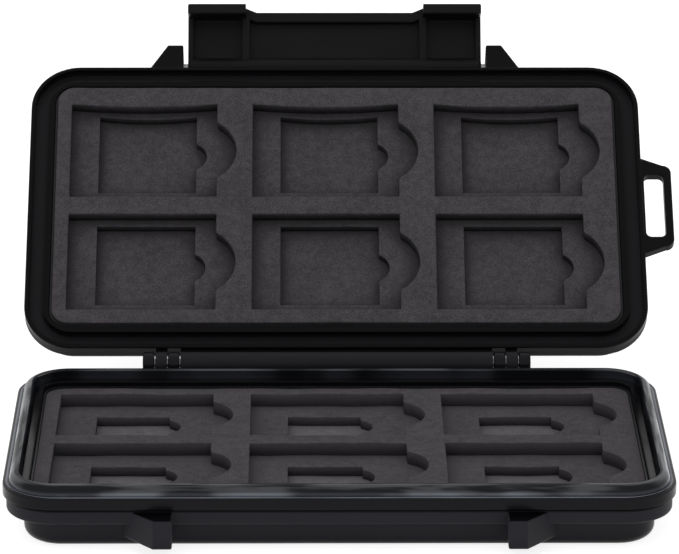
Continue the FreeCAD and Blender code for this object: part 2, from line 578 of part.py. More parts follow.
def make_lid_shell():
    """Lid: roof, rim with the seal's groove, latch ears, lanyard loop and hinge knuckles."""
    body = new_body("lid_shell")
    band_foot = f"({LID_HEIGHT} - Sizes.lid_band)"
    sketch = sketch_on(body, "lid_roof_outline", "XY_Plane", "0", shell_outline("Sizes.roof_inset"))
    pad(body, "lid_roof_block", sketch, band_foot)
    sketch = sketch_on(body, "lid_band_outline", "XY_Plane", band_foot, shell_outline("0"))
    pad(body, "lid_band", sketch, "Sizes.lid_band")
    round_edges(body, "roof_round", "Sizes.lid_round", lambda box: level(box, 0))
    rim_face = measure(LID_HEIGHT)
    round_edges(body, "lid_rim_round", "Sizes.rim_round", lambda box: level(box, rim_face))
    band_level = measure(band_foot)
    round_edges(body, "lid_band_round", "Sizes.edge_round",
                lambda box: level(box, band_level) and outside(box, "Sizes.roof_inset"))

    loop_middle = "Sizes.loop_shift"
    loop_end = "(Sizes.loop_length / 2)"
    loop_edge = f"({HALF_WIDTH} + Sizes.loop_reach)"
    loop_root = f"({HALF_WIDTH} - Sizes.cavity_inset + Sizes.tray_gap)"
    shoulder = f"({loop_end} - Sizes.loop_slope)"
    loop = (
        (loop_root, f"{loop_middle} - {loop_end}"),
        (HALF_WIDTH, f"{loop_middle} - {loop_end}"),
        (f"{loop_edge} - Sizes.loop_corner", f"{loop_middle} - {shoulder}", "Sizes.loop_corner", OUTWARDS),
        (loop_edge, f"{loop_middle} - {shoulder} + Sizes.loop_corner"),
        (loop_edge, f"{loop_middle} + {shoulder} - Sizes.loop_corner", "Sizes.loop_corner", OUTWARDS),
        (f"{loop_edge} - Sizes.loop_corner", f"{loop_middle} + {shoulder}"),
        (HALF_WIDTH, f"{loop_middle} + {loop_end}"),
        (loop_root, f"{loop_middle} + {loop_end}"),
    )
    slot = rounded_box("(Sizes.slot_width / 2)", "(Sizes.slot_length / 2)", "Sizes.slot_corner",
                       f"({HALF_WIDTH} + Sizes.slot_offset + Sizes.slot_width / 2)", loop_middle)
    loop_top = f"({LID_HEIGHT} - Sizes.loop_drop)"
    sketch = sketch_on(body, "loop_outline", "XY_Plane", f"{loop_top} - Sizes.loop_thick", loop, slot)
    pad(body, "lanyard_loop", sketch, "Sizes.loop_thick")
    side = measure(HALF_WIDTH)
    faces = [measure(loop_top), measure(f"{loop_top} - Sizes.loop_thick")]
    round_edges(body, "loop_edges", "Sizes.edge_round",
                lambda box: box.XMax > side + NEAR and any(level(box, face) for face in faces))

    ear = (
        (EAR_X, ROOT),
        (f"{EAR_X} + Sizes.ear_top + Sizes.ear_slope", ROOT),
        (f"{EAR_X} + Sizes.ear_top + Sizes.ear_slope", HALF_DEPTH),
        (f"{EAR_X} + Sizes.ear_top", f"{HALF_DEPTH} + Sizes.ear_reach"),
        (EAR_X, f"{HALF_DEPTH} + Sizes.ear_reach"),
    )
    ear_low = f"({PIVOT_Z} - Sizes.ear_below)"
    sketch = sketch_on(body, "ear_outline", "XY_Plane", ear_low, ear)
    ear_pad = pad(body, "ear", sketch, f"{LID_HEIGHT} - Sizes.ear_drop - {ear_low}")

    knuckle = (
        (f"-{HINGE_Y}", f"{LID_AXIS} - Sizes.barrel_radius"),
        (f"-{ROOT}", f"{LID_AXIS} - Sizes.barrel_radius"),
        (f"-{ROOT}", f"{LID_AXIS} - Sizes.web_drop"),
        (f"-{HINGE_Y} + Sizes.barrel_radius", f"{LID_AXIS} - Sizes.web_drop"),
        (f"-{HINGE_Y} + Sizes.barrel_radius", LID_AXIS, "Sizes.barrel_radius", OUTWARDS),
        (f"-{HINGE_Y}", f"{LID_AXIS} + Sizes.barrel_radius", "Sizes.barrel_radius", OUTWARDS),
        (f"-{HINGE_Y} - Sizes.barrel_radius", LID_AXIS, "Sizes.barrel_radius", OUTWARDS),
    )
    half_barrel = f"({INNER_KNUCKLE} - Sizes.knuckle_gap)"
    sketch = sketch_on(body, "barrel_outline", "YZ_Plane", f"-{half_barrel}", knuckle)
    pad(body, "middle_barrel", sketch, f"2 * {half_barrel}")
    sketch = sketch_on(body, "knuckle_outline", "YZ_Plane", LID_KNUCKLE, knuckle)
    knuckle_pad = pad(body, "end_knuckle", sketch, "Sizes.knuckle_width")
    heel = [heel_corner(across, up) for across, up in (
        ("0", "0"),
        ("-(Sizes.hinge_out - Sizes.stop_gap)", "-Sizes.heel_top"),
        ("-(Sizes.hinge_out - Sizes.stop_gap)", "-(Sizes.heel_top + Sizes.heel_height)"),
        ("0", "-Sizes.barrel_radius"),
    )]
    sketch = sketch_on(body, "heel_outline", "YZ_Plane", LID_KNUCKLE, heel)
    heel_pad = pad(body, "stop_heel", sketch, "Sizes.knuckle_width")
    mirror(body, "lid_other_side", [ear_pad, knuckle_pad, heel_pad])
    ear_nose = measure(f"{HALF_DEPTH} + Sizes.ear_reach")
    ear_foot = measure(ear_low)
    round_edges(body, "ear_round", "Sizes.ear_round", lambda box: nose(box, ear_nose, ear_foot))
    front = measure(HALF_DEPTH)
    round_edges(body, "ear_edges", "Sizes.edge_round", lambda box: box.YMax > front + NEAR)

    sketch = sketch_on(body, "knuckle_bore_outline", "YZ_Plane", "Sizes.hinge_span / 2",
                       circle_outline(f"-{HINGE_Y}", LID_AXIS, "(Sizes.pin_radius + Sizes.running_gap)"))
    bore = pocket(body, "knuckle_bore", sketch, "Sizes.pin_length + 2 * Sizes.pin_sink")
    mirror(body, "other_bore", [bore])
    sketch = sketch_on(body, "ear_hole_outline", "YZ_Plane", f"-{HALF_WIDTH}",
                       circle_outline(PIVOT_Y, PIVOT_Z, "(Sizes.pin_radius + Sizes.press_gap)"))
    pocket(body, "ear_holes", sketch, "Sizes.body_width", along_normal=True)
    sketch = sketch_on(body, "lid_cavity_outline", "XY_Plane", LID_HEIGHT, cavity_outline("0"))
    pocket(body, "lid_cavity", sketch, f"{LID_HEIGHT} - Sizes.lid_roof")
    sketch = sketch_on(body, "seal_groove_outline", "XY_Plane", LID_HEIGHT,
                       shell_outline("(Sizes.crown_inset - Sizes.crown_gap)"),
                       shell_outline("(Sizes.crown_inset + Sizes.crown_width + Sizes.crown_gap)"))
    pocket(body, "seal_groove", sketch, "Sizes.crown_rise - Sizes.parting_gap + Sizes.crown_gap")
    return body


def heel_corner(across, up):
    """Corner of the stop heel, given from the hinge axis at the stop, in the lid's own frame."""
    along = f"-{HINGE_Y} + cos({LEAN}) * ({across}) + sin({LEAN}) * ({up})"
    height = f"{LID_AXIS} - sin({LEAN}) * ({across}) + cos({LEAN}) * ({up})"
    return along, height


def make_latch():
    """Latch, drawn from its pivot with the inner side up: barrel, plate, hook tabs, lip, ribs and ends."""
    body = new_body("latch")
    sketch = sketch_on(body, "latch_barrel_outline", "YZ_Plane", f"-{HALF_LATCH}",
                       circle_outline("0", "0", "Sizes.latch_barrel"))
    pad(body, "latch_barrel", sketch, "Sizes.latch_width")
    tab_x = f"({HALF_LATCH} - Sizes.tab_width)"
    centre_x = f"({tab_x} - Sizes.tab_slope)"
    tip = (
        (HALF_LATCH, LATCH_TIP),
        (tab_x, LATCH_TIP),
        (centre_x, CENTRE_TIP),
        (f"-{centre_x}", CENTRE_TIP),
        (f"-{tab_x}", LATCH_TIP),
        (f"-{HALF_LATCH}", LATCH_TIP),
    )
    plate = ((f"-{HALF_LATCH}", "0"), (HALF_LATCH, "0")) + tip
    sketch = sketch_on(body, "latch_plate_outline", "XY_Plane", "-Sizes.latch_barrel", plate)
    pad(body, "latch_plate", sketch, "Sizes.latch_plate")
    lip = tuple((x, f"{y} - Sizes.hook_height") for x, y in reversed(tip)) + tip
    sketch = sketch_on(body, "latch_lip_outline", "XY_Plane", PLATE_TOP, lip)
    pad(body, "latch_lip", sketch, "Sizes.lip_rise")
    hook = (
        (tab_x, HOOK_FOOT),
        (HALF_LATCH, HOOK_FOOT),
        (HALF_LATCH, LATCH_TIP),
        (tab_x, LATCH_TIP),
    )
    hook_top = "(Sizes.pivot_out + Sizes.tier_inset + Sizes.hook_bite)"
    sketch = sketch_on(body, "hook_outline", "XY_Plane", PLATE_TOP, hook)
    hook_pad = pad(body, "hook", sketch, f"{hook_top} - {PLATE_TOP}")
    half_rib = "Sizes.latch_rib / 2"
    rib = (
        (f"{tab_x} - {half_rib}", "0"),
        (f"{tab_x} + {half_rib}", "0"),
        (f"{tab_x} + {half_rib}", HOOK_FOOT),
        (f"{tab_x} - {half_rib}", HOOK_FOOT),
    )
    sketch = sketch_on(body, "latch_rib_outline", "XY_Plane", PLATE_TOP, rib)
    rib_pad = pad(body, "latch_rib", sketch, "Sizes.rib_rise")
    end = (
        (f"{HALF_LATCH} - Sizes.latch_end", "0"),
        (HALF_LATCH, "0"),
        (HALF_LATCH, LATCH_TIP),
        (f"{HALF_LATCH} - Sizes.latch_end", LATCH_TIP),
    )
    sketch = sketch_on(body, "latch_end_outline", "XY_Plane", PLATE_TOP, end)
    end_pad = pad(body, "latch_end", sketch, "Sizes.rib_rise")
    mirror(body, "latch_other_side", [hook_pad, rib_pad, end_pad])
    outer_face = measure("-Sizes.latch_barrel")
    tips = [measure(LATCH_TIP), measure(CENTRE_TIP)]
    round_edges(body, "latch_tip_round", "Sizes.hook_round",
                lambda box: any(nose(box, place, outer_face) for place in tips))
    latch_side = measure(HALF_LATCH)
    round_edges(body, "latch_edges", "Sizes.edge_round", lambda box: upright(box, latch_side))
    sketch = sketch_on(body, "latch_bore_outline", "YZ_Plane", HALF_LATCH,
                       circle_outline("0", "0", "(Sizes.pin_radius + Sizes.running_gap)"))
    bore = pocket(body, "latch_bore", sketch, f"{HALF_LATCH} - {LATCH_PIN_END} + Sizes.pin_sink")
    mirror(body, "latch_other_bore", [bore])
    body.Placement = FreeCAD.Placement(FreeCAD.Vector(), FreeCAD.Rotation(FreeCAD.Vector(1, 0, 0), 1))
    body.setExpression("Placement.Rotation.Angle", f"{LEAN} + (90 - Sizes.latch_open) * 1 deg")
    body.setExpression("Placement.Base.y", lid_point_y(PIVOT_Y, PIVOT_Z))
    body.setExpression("Placement.Base.z", lid_point_z(PIVOT_Y, PIVOT_Z))
    return body


base_low = "(Sizes.base_floor + Sizes.tray_floor)"
base_middle_low = f"({base_low} + Sizes.base_back)"
base_face_low = f"({base_middle_low} + Sizes.foam_middle)"
base_tray_top = f"({base_face_low} + Sizes.foam_face + Sizes.tray_lip)"
parts = [
    make_base_shell(),
    make_rim_seal(),
    make_tray("base_liner_tray", "Sizes.base_floor", base_tray_top),
    make_sheet("base_foam_back", base_low, "Sizes.base_back"),
    make_sheet("base_foam_middle", base_middle_low, "Sizes.foam_middle", small_well),
    make_sheet("base_foam_face", base_face_low, "Sizes.foam_face", large_well),
    cross_pin("hinge_pin_left", f"-{HINGE_PIN_OUT}", HINGE_Y, HINGE_Z),
    cross_pin("hinge_pin_right", f"{HINGE_PIN_OUT} - Sizes.pin_length", HINGE_Y, HINGE_Z),
]

lid_low = "(Sizes.lid_roof + Sizes.tray_floor)"
lid_middle_low = f"({lid_low} + Sizes.lid_back)"
lid_face_low = f"({lid_middle_low} + Sizes.foam_middle)"
lid_parts = [
    make_lid_shell(),
    make_tray("lid_liner_tray", "Sizes.lid_roof", f"({LID_HEIGHT} - Sizes.tray_lip)"),
    make_sheet("lid_foam_back", lid_low, "Sizes.lid_back"),
    make_sheet("lid_foam_middle", lid_middle_low, "Sizes.foam_middle", mid_well, -1),
    make_sheet("lid_foam_face", lid_face_low, "Sizes.foam_face", large_well, -1),
]
for item in lid_parts:
    swing_with_lid(item)
latch_y = lid_point_y(PIVOT_Y, PIVOT_Z)
latch_z = lid_point_z(PIVOT_Y, PIVOT_Z)
parts += lid_parts
parts += [
    make_latch(),
    cross_pin("latch_pin_left", f"-{LATCH_PIN_OUT}", latch_y, latch_z),
    cross_pin("latch_pin_right", LATCH_PIN_END, latch_y, latch_z),
]

doc.recompute()
for item in doc.Objects:
    if "Invalid" in item.State or "Error" in item.State:
        raise RuntimeError(f"{item.Name} failed: {item.State}")
for item in parts:
    if item.Shape.isNull() or not item.Shape.isValid():
        raise RuntimeError(f"{item.Label} has no sound shape")
os.makedirs("parts", exist_ok=True)
for item in parts:
    item.Shape.exportStep(f"parts/{item.Label}.step")
    print(item.Label, len(item.Shape.Solids), "solid", round(item.Shape.Volume, 1), "mm3")
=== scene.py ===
# %% [markdown]
# # A memory card case, dressed for its portrait
# The case stands open: a base and a lid of black moulded plastic, a rubber seal round the base's rim,
# a foam insert with nested card wells in each half, and a wide latch on the lid.
# The solids arrive at their real size and stay where they are. This lesson gives them their finishes,
# makes the soft foam inserts as meshes of their own, and lights the whole like a small studio.

# %% Load the solids
import json
from math import degrees, pi, radians

import bmesh
import bpy
from mathutils import Matrix, Vector, noise


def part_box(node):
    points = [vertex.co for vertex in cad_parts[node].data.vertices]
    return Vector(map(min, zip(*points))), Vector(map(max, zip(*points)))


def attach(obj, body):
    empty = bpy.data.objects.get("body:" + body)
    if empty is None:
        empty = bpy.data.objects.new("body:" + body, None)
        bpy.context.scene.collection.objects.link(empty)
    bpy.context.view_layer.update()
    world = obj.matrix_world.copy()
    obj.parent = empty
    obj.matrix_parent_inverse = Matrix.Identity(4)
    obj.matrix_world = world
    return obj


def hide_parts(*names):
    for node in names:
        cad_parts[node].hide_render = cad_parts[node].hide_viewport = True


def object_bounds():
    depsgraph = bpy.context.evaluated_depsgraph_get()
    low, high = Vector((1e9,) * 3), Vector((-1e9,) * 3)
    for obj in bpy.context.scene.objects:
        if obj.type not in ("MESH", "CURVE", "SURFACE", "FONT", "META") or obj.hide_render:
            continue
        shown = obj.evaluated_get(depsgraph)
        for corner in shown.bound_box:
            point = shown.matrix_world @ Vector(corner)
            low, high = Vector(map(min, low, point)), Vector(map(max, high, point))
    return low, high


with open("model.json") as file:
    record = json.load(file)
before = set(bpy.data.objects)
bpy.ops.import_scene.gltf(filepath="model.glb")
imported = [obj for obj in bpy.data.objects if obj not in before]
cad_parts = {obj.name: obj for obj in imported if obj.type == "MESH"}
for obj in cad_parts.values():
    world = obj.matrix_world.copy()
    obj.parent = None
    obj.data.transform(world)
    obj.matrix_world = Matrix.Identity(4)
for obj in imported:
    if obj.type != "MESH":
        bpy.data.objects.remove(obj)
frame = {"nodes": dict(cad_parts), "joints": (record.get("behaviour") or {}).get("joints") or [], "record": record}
nodes = frame["nodes"]
cad_low, cad_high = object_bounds()
MM = 0.001
print("solids", len(nodes), "box in mm", [round(side / MM, 1) for side in cad_high - cad_low])

# %% [markdown]
# ## Two rims to measure from
# Finishes change with the height above or below a rim, and with the distance in from the rim's outer edge,
# a rectangle with round corners. Faces with materials of their own could mark such zones, but their borders
# would be hard, so the shader works the zones out from a few measures instead.
# The base's rim is level. The lid leans back on its hinge, so its heights are read after it has been
# turned flat about the hinge axis.

# %% Find the rims
CROWN_RISE = 2.1 * MM
LID_RIM_OVER_HINGE = 0.7 * MM
SEAL_INSET = 0.46 * MM
CORNER_RADIUS = 10.8 * MM
OVER_ALL = 1.0

hinge = next(joint for joint in frame["joints"] if joint["name"] == "lid_hinge")
HINGE_PLACE = Vector(hinge["pos_m"])
LID_LEAN = pi - radians(hinge["range_deg"][1])
LAID_FLAT = Matrix.Rotation(-LID_LEAN, 4, "X") @ Matrix.Translation(-HINGE_PLACE)
seal_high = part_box("rim_seal")[1]
BASE_RIM = seal_high.z - CROWN_RISE
# The corner's centre lies over everything, so a point's height never adds to its distance from it.
CORNER_CENTRE = seal_high + Vector((SEAL_INSET - CORNER_RADIUS, SEAL_INSET - CORNER_RADIUS, OVER_ALL))
print("base rim in mm", round(BASE_RIM / MM, 2), "lid leans in degrees", round(degrees(LID_LEAN), 1))

# %% [markdown]
# ## The camera
# The picture was taken from about 0.9 m away with a long lens, looking down a little. A camera can be aimed
# by eye, but matching the rows of wells in both halves gives its place, tilt and focal length together.
# A long lens keeps the two halves' edges nearly parallel, so the camera comes first: every later choice is
# judged through it.

# %% Set up the camera
CAMERA_PLACE = Vector((-8.7, -838.3, 330.1)) * MM
CAMERA_DOWN = radians(18.73)
CAMERA_TO_RIGHT = radians(0.604)
CAMERA_ROLL = radians(0.152)
CAMERA_LENS = 229.4
SENSOR_WIDTH = 36.0
NEAREST = 0.01
FARTHEST = 20.0

camera_data = bpy.data.cameras.new("portrait_camera")
camera_data.sensor_width = SENSOR_WIDTH
camera_data.lens = CAMERA_LENS
camera_data.clip_start = NEAREST
camera_data.clip_end = FARTHEST
camera = bpy.data.objects.new("portrait_camera", camera_data)
camera.location = CAMERA_PLACE
aim = Matrix.Rotation(-CAMERA_TO_RIGHT, 4, "Z") @ Matrix.Rotation(pi / 2 - CAMERA_DOWN, 4, "X")
camera.rotation_euler = (aim @ Matrix.Rotation(CAMERA_ROLL, 4, "Z")).to_euler()
bpy.context.scene.collection.objects.link(camera)
bpy.context.scene.camera = camera
bpy.context.scene.view_settings.view_transform = "Standard"
print("camera at", [round(value, 3) for value in camera.location])

# %% [markdown]
# ## Sums on sockets
# A finish is a small net of nodes, and most of it is arithmetic. Wiring every Math node by hand hides
# the idea, so one small class wraps a socket and lets Python's own signs add the nodes.
# Colours and vectors don't go through Math nodes, which would turn a colour grey.

# %% Wrap a socket
class Wire:
    """An output socket that can be used in sums."""

    def __init__(self, tree, socket):
        self.tree = tree
        self.socket = socket

    def node(self, kind, settings, inputs, output=0):
        """Add a node to the same tree, set it up, feed its inputs and hand back one of its outputs."""
        made = self.tree.nodes.new(kind)
        for name, value in settings.items():
            setattr(made, name, value)
        for name, value in inputs.items():
            if isinstance(value, Wire):
                self.tree.links.new(value.socket, made.inputs[name])
            else:
                made.inputs[name].default_value = value
        return Wire(self.tree, made.outputs[output])

    def math(self, operation, first, second):
        """A sum of two values, of which either may be a plain number."""
        return self.node("ShaderNodeMath", {"operation": operation}, {0: first, 1: second})

    def __add__(self, other):
        return self.math("ADD", self, other)

    def __sub__(self, other):
        return self.math("SUBTRACT", self, other)

    def __rsub__(self, other):
        return self.math("SUBTRACT", other, self)

    def __mul__(self, other):
        return self.math("MULTIPLY", self, other)

    __radd__ = __add__
    __rmul__ = __mul__

    def above(self, low, high):
        """0 below low, 1 above high, and a soft step between."""
        return self.node("ShaderNodeMapRange", {"interpolation_type": "SMOOTHSTEP"},
                         {"Value": self, "From Min": low, "From Max": high})

    def noise(self, size, detail=2.0, roughness=0.5):
        """Noise whose blotches are about this size."""
        return self.node("ShaderNodeTexNoise", {},
                         {"Vector": self, "Scale": 1 / size, "Detail": detail, "Roughness": roughness})

    def mix(self, first, second):
        """Two colours, mixed by this value."""
        return self.node("ShaderNodeMix", {"data_type": "RGBA"}, {0: self, 6: first, 7: second}, 2)

    def vector(self, operation, second=(0, 0, 0), output=0):
        """A sum of this vector and a second one."""
        return self.node("ShaderNodeVectorMath", {"operation": operation}, {0: self, 1: second}, output)

    def stretched(self, along_x):
        """This place drawn out along X, so that a pattern on it runs that way."""
        return self.node("ShaderNodeMapping", {}, {"Vector": self, "Scale": (1 / along_x, 1, 1)})

    def bump(self, depth, **normal):
        """A normal from this height, full height being the given depth, on top of any other normal."""
        return self.node("ShaderNodeBump", {}, {"Height": self, "Distance": depth, **normal})


print("sums on sockets are ready")

# %% [markdown]
# ## A finish
# Every finish here is one shader whose even values sit on the shader itself and whose uneven values follow
# a wire. A second small class keeps the two apart and knows the measures that several finishes share.
# Real mouldings have no knife edges. The solids have the larger roundings, and a Bevel node eases
# the rest in the normal, which costs no faces.

# %% Wrap a material
EASING_SAMPLES = 4


class Finish:
    """A material with one shader, its even values set on the shader itself."""

    def __init__(self, name, **even):
        self.material = bpy.data.materials.new(name)
        self.material.use_nodes = True
        self.tree = self.material.node_tree
        self.shader = self.tree.nodes["Principled BSDF"]
        for socket, value in even.items():
            self.shader.inputs[socket.replace("_", " ")].default_value = value
        place = self.tree.nodes.new("ShaderNodeTexCoord")
        self.place = Wire(self.tree, place.outputs["Object"])

    def feed(self, socket, wire):
        """Let a socket of the shader follow a wire."""
        self.tree.links.new(wire.socket, self.shader.inputs[socket])

    def height(self, turned, moved):
        """How high a point lies, in metres, once its piece is turned about X and moved."""
        laid = self.place.node("ShaderNodeMapping", {},
                               {"Vector": self.place, "Rotation": (turned, 0, 0), "Location": moved})
        return laid.node("ShaderNodeSeparateXYZ", {}, {0: laid}, "Z")

    def outwards(self):
        """How far a point lies beyond the outline of the base's rim, in metres, and below zero inside it."""
        beyond = self.place.vector("ABSOLUTE").vector("SUBTRACT", CORNER_CENTRE).vector("MAXIMUM")
        return beyond.vector("LENGTH", output="Value") - CORNER_RADIUS

    def round_the_rim(self, stretch):
        """A place whose patterns run round the rim, drawn out lengthways."""
        lengthways = self.place.vector("MULTIPLY", (1 / stretch, 1 / stretch, 0))
        crossways = self.place.node("ShaderNodeCombineXYZ", {}, {"Z": self.outwards()})
        return lengthways.vector("ADD", crossways)

    def soft_edges(self, radius):
        """The surface's normal, with every edge eased to a small radius."""
        return self.place.node("ShaderNodeBevel", {"samples": EASING_SAMPLES}, {"Radius": radius})


print("finishes ease their edges with", EASING_SAMPLES, "samples")

# %% [markdown]
# ## The moulded shells
# Both shells are injection moulded in black. Such plastic isn't one flat black: the outside of the
# mould is eroded to a fine grain, which scatters light and looks greyer, while the rims that close on each
# other are polished and look nearly ink black. A grain this fine could be a picture wrapped round the shell,
# but it would show seams at the corners. Noise in space has none, so fine noise makes the grain,
# and broad noise makes gloss and colour uneven, as handled plastic is.

# %% Black plastic
GRAIN_SIZE = 0.35 * MM
GRAIN_DEPTH = 0.012 * MM
HANDLED_SIZE = 14 * MM
SHELL_EASING = 0.4 * MM


def mould_black(finish, grained, rim_colour, grain_colour):
    """Black plastic, polished where grained is 0 and eroded where it is 1. Hands back its colour."""
    grain = finish.place.noise(GRAIN_SIZE, detail=3.0)
    handled = finish.place.noise(HANDLED_SIZE, detail=3.0).above(0.35, 0.7)
    finish.feed("Roughness", 0.12 + grained * 0.34 + handled * 0.08)
    finish.feed("Normal", (grain * grained).bump(GRAIN_DEPTH, Normal=finish.soft_edges(SHELL_EASING)))
    return (grained * (0.75 + handled * 0.15 + grain * 0.2)).mix(rim_colour, grain_colour)


print("grain in mm", GRAIN_SIZE / MM)

# %% [markdown]
# ## The base
# Inside the seal the base is polished, and the band round its rim nearly so. The fine groove below the band
# and the tops of the latch guards just under it get the polished near-black as painted shade, the grain fades
# and the colour darkens towards the foot as painted shade near the floor, and the thin lip outside the seal is
# streaked grey as a painted highlight. Each zone could be painted by hand, but height below the rim and
# distance from its outline already tell them apart.

# %% Base finish
RIM_ZONE = 0.15 * MM
BAND_HEIGHT = 2.4 * MM
GROOVE_HEIGHT = 0.7 * MM
FOOT_HEIGHT = 5.2 * MM
INSIDE_DEPTH = 5.5 * MM
LIP_WIDTH = 1.3 * MM
LIP_DROP = 0.5 * MM
HIGHLIGHT_STREAK_SIZE = 1.2 * MM
HIGHLIGHT_STREAK_STRETCH = 16
BASE_POLISHED = (0.0025, 0.0025, 0.0035, 1)
BASE_GRAINED = (0.024, 0.024, 0.0295, 1)
LIP_HIGHLIGHT_GREY = (0.22, 0.23, 0.265, 1)


def base_plastic():
    """The base's black, polished inside the seal, with painted shade below the band and towards the floor, and a
    painted highlight along the outer edge of the rim.
    """
    finish = Finish("base_black", Specular_IOR_Level=0.1)
    height = finish.height(0, (0, 0, -BASE_RIM))
    outwards = finish.outwards()
    outer = outwards.above(-LIP_WIDTH, -LIP_WIDTH * 0.8)
    inside = (1 - outer) * height.above(-INSIDE_DEPTH - RIM_ZONE, -INSIDE_DEPTH)
    band = height.above(-BAND_HEIGHT - RIM_ZONE, -BAND_HEIGHT)
    # Painted shade: the groove under the band, and the latch guards' tops at its height, get the polished
    # near-black.
    groove_floor = -BAND_HEIGHT - GROOVE_HEIGHT
    over_groove_floor = height.above(groove_floor - RIM_ZONE, groove_floor)
    groove_shade = over_groove_floor * (1 - height.above(-BAND_HEIGHT, RIM_ZONE - BAND_HEIGHT))
    # Painted shade near the floor: the grain fades and the colour darkens towards the foot.
    foot_shade = 1 - height.above(-BASE_RIM, FOOT_HEIGHT - BASE_RIM)
    grained = (1 - inside) * (1 - groove_shade) * (1 - band * 0.8 - foot_shade * 0.8)
    colour = mould_black(finish, grained, BASE_POLISHED, BASE_GRAINED)
    # Painted highlight: the thin lip outside the seal is streaked grey along its edge.
    lip_highlight = outer * (1 - outwards.above(RIM_ZONE / 2, RIM_ZONE)) * height.above(-LIP_DROP, -RIM_ZONE)
    highlight_streaks = finish.round_the_rim(HIGHLIGHT_STREAK_STRETCH).noise(HIGHLIGHT_STREAK_SIZE).above(0.3, 0.6)
    finish.feed("Base Color", (lip_highlight * (0.65 + highlight_streaks * 0.5)).mix(colour, LIP_HIGHLIGHT_GREY))
    return finish.material


base_black = base_plastic()
print("made", base_black.name)

# %% [markdown]
# ## The lid
# On the lid the polish fades into grain over the first millimetres below the rim. The same black serves,
# and only the mask differs: heights are measured in the lid's own lean, so the fade follows its rim.

# %% Lid finish
GRAIN_ZONE = 2.7 * MM
LID_POLISHED = (0.0025, 0.0025, 0.003, 1)
# The lid's grained grey is set darker than the base's grained grey of the same plastic, as painted shade.
LID_GRAINED = (0.016, 0.016, 0.018, 1)


def lid_plastic():
    """The lid's black, polished at the rim and grained below it."""
    finish = Finish("lid_black", Specular_IOR_Level=0.06)
    rim_place = LAID_FLAT.translation - Vector((0, 0, LID_RIM_OVER_HINGE))
    height = finish.height(-LID_LEAN, rim_place)
    polished = height.above(-GRAIN_ZONE, -RIM_ZONE) * (1 - height.above(RIM_ZONE, RIM_ZONE * 2))
    finish.feed("Base Color", mould_black(finish, 1 - polished, LID_POLISHED, LID_GRAINED))
    return finish.material


lid_black = lid_plastic()
print("made", lid_black.name)

# %% [markdown]
# ## The latch
# The latch comes from a mould of its own, with an even fine grain all over and the faint flow marks that
# thin plates get when they are filled from one edge. Drawing single marks would look too regular,
# so noise stretched along the plate makes them.

# %% Latch plastic
FLOW_SIZE = 5 * MM
FLOW_STRETCH = 4
LATCH_EASING = 0.8 * MM
LATCH_DARK = (0.003, 0.003, 0.0037, 1)
LATCH_PALE = (0.0062, 0.0062, 0.0072, 1)


def latch_plastic():
    """Evenly grained black plastic with faint flow marks."""
    finish = Finish("latch_black", Specular_IOR_Level=0.1)
    grain = finish.place.noise(GRAIN_SIZE, detail=3.0)
    flow = finish.place.stretched(FLOW_STRETCH).noise(FLOW_SIZE, detail=2.0).above(0.35, 0.7)
    finish.feed("Base Color", (flow * 0.6 + grain * 0.4).mix(LATCH_DARK, LATCH_PALE))
    finish.feed("Roughness", 0.38 + flow * 0.08 + grain * 0.06)
    finish.feed("Normal", grain.bump(GRAIN_DEPTH, Normal=finish.soft_edges(LATCH_EASING)))
    return finish.material


latch_black = latch_plastic()
print("made", latch_black.name)

# %% [markdown]
# ## The rim seal
# A soft rubber ring that the lid presses on. It is the one glossy thing on the case, but not evenly so:
# where the lid has pressed, the rubber shines in long streaks that run round the rim. Its colour is a little
# paler along the streaks and pale grey on its outer foot, both painted highlight. An even gloss would look
# like glass, so a clear coat's weight follows the streaks, and a long waver in the bump bends what they mirror.

# %% Seal rubber
STREAK_SIZE = 1.1 * MM
STREAK_STRETCH = 14
WAVER_SIZE = 22 * MM
WAVER_DEPTH = 0.5 * MM
FLANK_LOW = 0.5 * MM
FLANK_HIGH = 1.1 * MM
FOOT_WIDTH = 1.25 * MM
FOOT_FADE = 0.2 * MM
RUBBER_DARK = (0.004, 0.0045, 0.006, 1)
RUBBER_PALE = (0.014, 0.015, 0.019, 1)
PAINTED_HIGHLIGHT_GREY = (0.17, 0.185, 0.22, 1)
COAT_BLUE = (0.9, 0.95, 1.0, 1)


def seal_rubber():
    """Dark rubber with glossy streaks, and a painted highlight: paler streaks and a pale foot."""
    finish = Finish("seal_rubber", Specular_IOR_Level=0.03, Coat_Roughness=0.09, Coat_IOR=1.75,
                    Coat_Tint=COAT_BLUE)
    streaks = finish.round_the_rim(STREAK_STRETCH).noise(STREAK_SIZE, detail=2.0).above(0.4, 0.62)
    waver = finish.place.noise(WAVER_SIZE, detail=3.0)
    flank = 1 - finish.height(0, (0, 0, -BASE_RIM)).above(FLANK_LOW, FLANK_HIGH)
    foot = flank * finish.outwards().above(-FOOT_WIDTH - FOOT_FADE, -FOOT_WIDTH)
    # Painted highlight: the outer foot and the streaks are coloured paler than the rubber is.
    painted_foot_highlight = foot * (0.2 + streaks * 0.45)
    finish.feed("Base Color", painted_foot_highlight.mix(streaks.mix(RUBBER_DARK, RUBBER_PALE), PAINTED_HIGHLIGHT_GREY))
    finish.feed("Roughness", 0.2 + painted_foot_highlight * 0.3)
    finish.feed("Coat Weight", 0.12 + streaks * 0.52)
    finish.feed("Normal", (waver + streaks * 0.05).bump(WAVER_DEPTH))
    return finish.material


seal_black = seal_rubber()
print("made", seal_black.name)

# %% [markdown]
# ## Liner trays and pins
# Each insert sits in a thin tray, of which only the lip shows as a fine line round the foam.
# The hinge and latch turn on plain steel pins, seen only at their ends. So little of them shows that
# a plain colour would nearly do, but a cloud in the tray's gloss and drawn lines on the steel cost one
# noise each and hold up close by.

